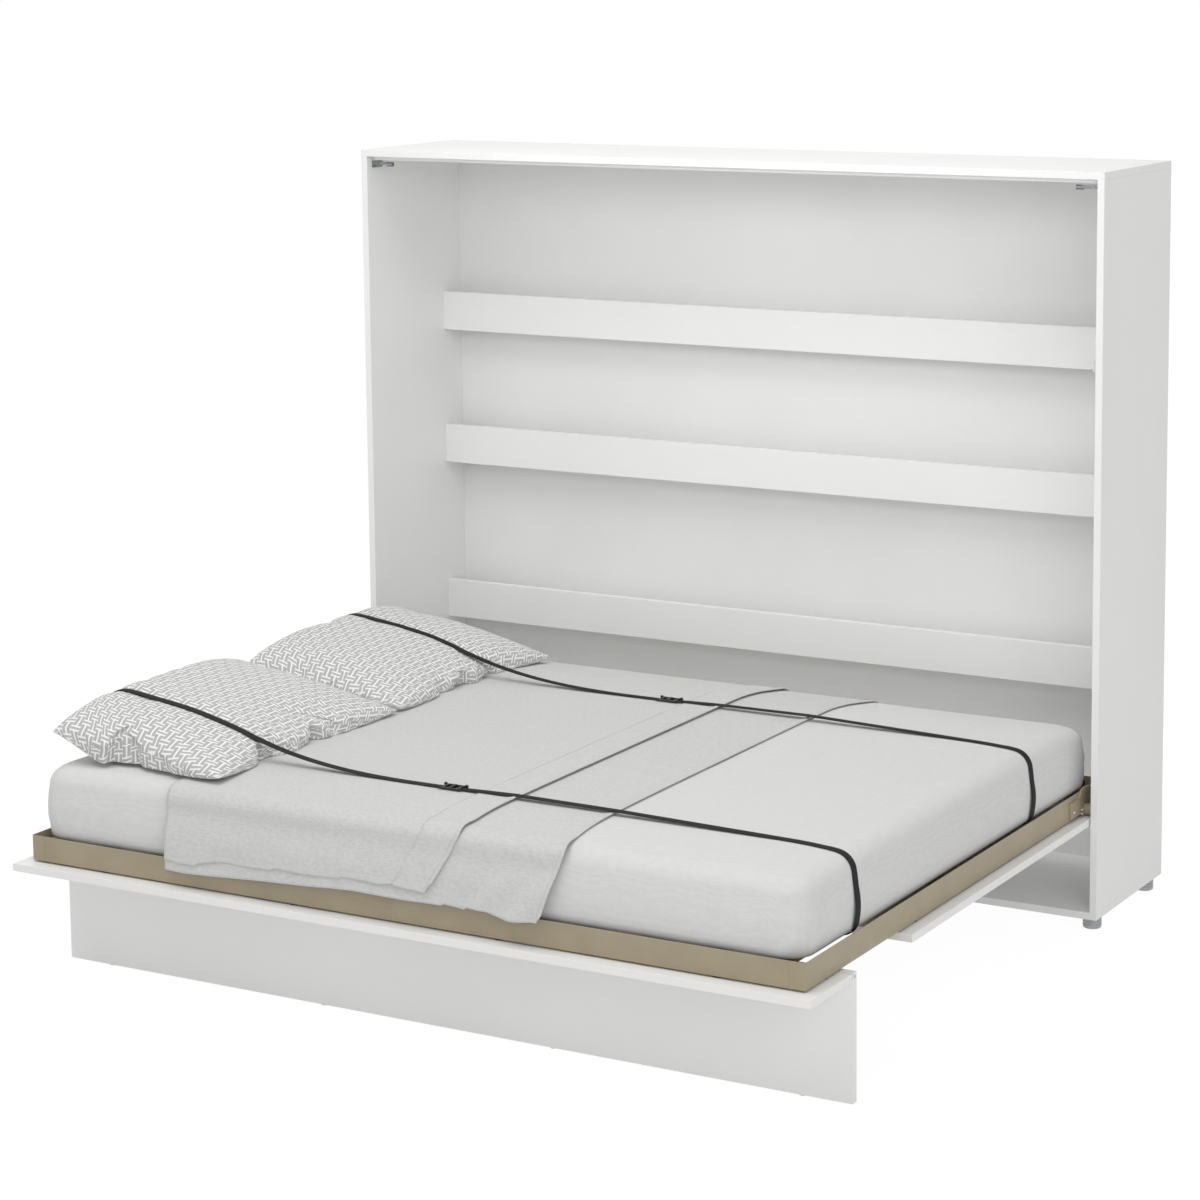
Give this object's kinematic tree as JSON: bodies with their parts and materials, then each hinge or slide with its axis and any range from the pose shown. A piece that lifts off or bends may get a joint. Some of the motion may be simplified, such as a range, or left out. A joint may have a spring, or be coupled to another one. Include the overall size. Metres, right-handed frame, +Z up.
{
  "type": "cabinet bed",
  "caption": "Horizontal cabinet bed that folds down from a shallow white cabinet, with a steel frame, slats, mattress, a folding leg flap, gas struts, pillows, a sheet and bedding straps.",
  "frame": {"origin": "on the floor, at the middle of the opened bed's outline", "axes": "+X along the cabinet to the mattress's foot end, +Y towards the wall, +Z up; the opened bed comes out towards -Y"},
  "size_m": [2.12, 1.951, 1.855],
  "materials": {
    "white_board": "satin white melamine on chipboard, edged in the same white",
    "white_hardboard": "white lacquered hardboard",
    "white_plastic": "matt white moulded plastic",
    "foot_plastic": "satin silver-grey moulded plastic",
    "beech": "sanded beech",
    "zinc_steel": "zinc plated sheet steel",
    "bright_steel": "bright zinc plated steel",
    "beige_steel": "satin beige powder coat",
    "black_plastic": "matt black moulded plastic",
    "strut_black": "semi-gloss black paint",
    "strut_chrome": "ground and plated rod",
    "mattress_cover": "light grey woven cotton cover, a little wrinkled",
    "sheet_linen": "light grey linen weave",
    "pillow_weave": "cotton printed with a white and grey basket weave",
    "black_webbing": "flat black elastic webbing"
  },
  "bodies": {
    "cabinet": {"top_panel": "white_board", "bottom_panel": "white_board", "side_panel_left": "white_board", "side_panel_right": "white_board", "cross_rail_lower": "white_board", "cross_rail_middle": "white_board", "cross_rail_upper": "white_board", "stop_batten": "white_board", "back_sheet_lower": "white_hardboard", "back_sheet_middle": "white_hardboard", "back_sheet_upper": "white_hardboard", "back_seam_strips": "white_plastic", "feet": "foot_plastic", "panel_dowels": "beech", "wall_brackets": "zinc_steel", "rail_angle_plates": "zinc_steel", "pivot_wall_plates": "zinc_steel", "pivot_pins": "bright_steel", "strut_wall_brackets": "zinc_steel", "catch_left": "zinc_steel", "catch_right": "zinc_steel", "side_stop": "white_plastic", "cabinet_screws": "bright_steel"},
    "bed": {"bed_pins": "bright_steel", "frame_bolts": "bright_steel", "frame_corners": "beige_steel", "frame_rail_front": "beige_steel", "frame_rail_left": "beige_steel", "frame_rail_rear": "beige_steel", "frame_rail_right": "beige_steel", "front_panel": "white_board", "front_strip": "white_board", "leg_brackets": "zinc_steel", "mattress": "mattress_cover", "middle_beam": "beige_steel", "panel_screws": "bright_steel", "panel_spacers": "black_plastic", "pillow_front": "pillow_weave", "pillow_rear": "pillow_weave", "pivot_plate_left": "beige_steel", "pivot_plate_right": "beige_steel", "slat_holders": "black_plastic", "slats_front": "beech", "slats_rear": "beech", "strap_anchors": "zinc_steel", "strap_buckles": "black_plastic", "strap_foot_front": "black_webbing", "strap_foot_rear": "black_webbing", "strap_head_ends": "black_webbing", "strap_head_front": "black_webbing", "strap_head_rear": "black_webbing", "top_sheet": "sheet_linen", "top_sheet_fold": "sheet_linen"},
    "leg": {"leg_flap": "white_board", "leg_glides": "white_plastic"},
    "strut_cylinder_left": {"strut_cylinder_left": "strut_black"},
    "strut_cylinder_right": {"strut_cylinder_right": "strut_black"},
    "strut_rod_left": {"strut_rod_left": "strut_chrome"},
    "strut_rod_right": {"strut_rod_right": "strut_chrome"}
  },
  "joints": [
    {"name": "bed_fold", "type": "hinge", "parent": "cabinet", "child": "bed", "pos_m": [0, 0.5585, 0.3], "axis": [-1, 0, 0], "range_deg": [0, 90], "deforming": ["pillow_front", "pillow_rear", "strap_head_front", "strap_head_rear"]},
    {"name": "leg_fold", "type": "hinge", "parent": "bed", "child": "leg", "pos_m": [0, -0.771, 0.276], "axis": [1, 0, 0], "range_deg": [0, 90]},
    {"name": "strut_left_cylinder_turn", "type": "hinge", "parent": "cabinet", "child": "strut_cylinder_left", "pos_m": [-1.0285, 0.60509, 0.47387], "axis": [-1, 0, 0], "range_deg": [0, 45]},
    {"name": "strut_left_rod_turn", "type": "hinge", "parent": "bed", "child": "strut_rod_left", "pos_m": [-1.0285, 0.73781, 0.31569], "axis": [1, 0, 0], "range_deg": [0, 45]},
    {"name": "strut_right_cylinder_turn", "type": "hinge", "parent": "cabinet", "child": "strut_cylinder_right", "pos_m": [1.0285, 0.60509, 0.47387], "axis": [-1, 0, 0], "range_deg": [0, 45]},
    {"name": "strut_right_rod_turn", "type": "hinge", "parent": "bed", "child": "strut_rod_right", "pos_m": [1.0285, 0.73781, 0.31569], "axis": [1, 0, 0], "range_deg": [0, 45]}
  ],
  "couplings": [
    {"joint": "strut_left_cylinder_turn", "follows": "bed_fold", "ratio": 0.5},
    {"joint": "strut_left_rod_turn", "follows": "bed_fold", "ratio": 0.5},
    {"joint": "strut_right_cylinder_turn", "follows": "bed_fold", "ratio": 0.5},
    {"joint": "strut_right_rod_turn", "follows": "bed_fold", "ratio": 0.5}
  ]
}
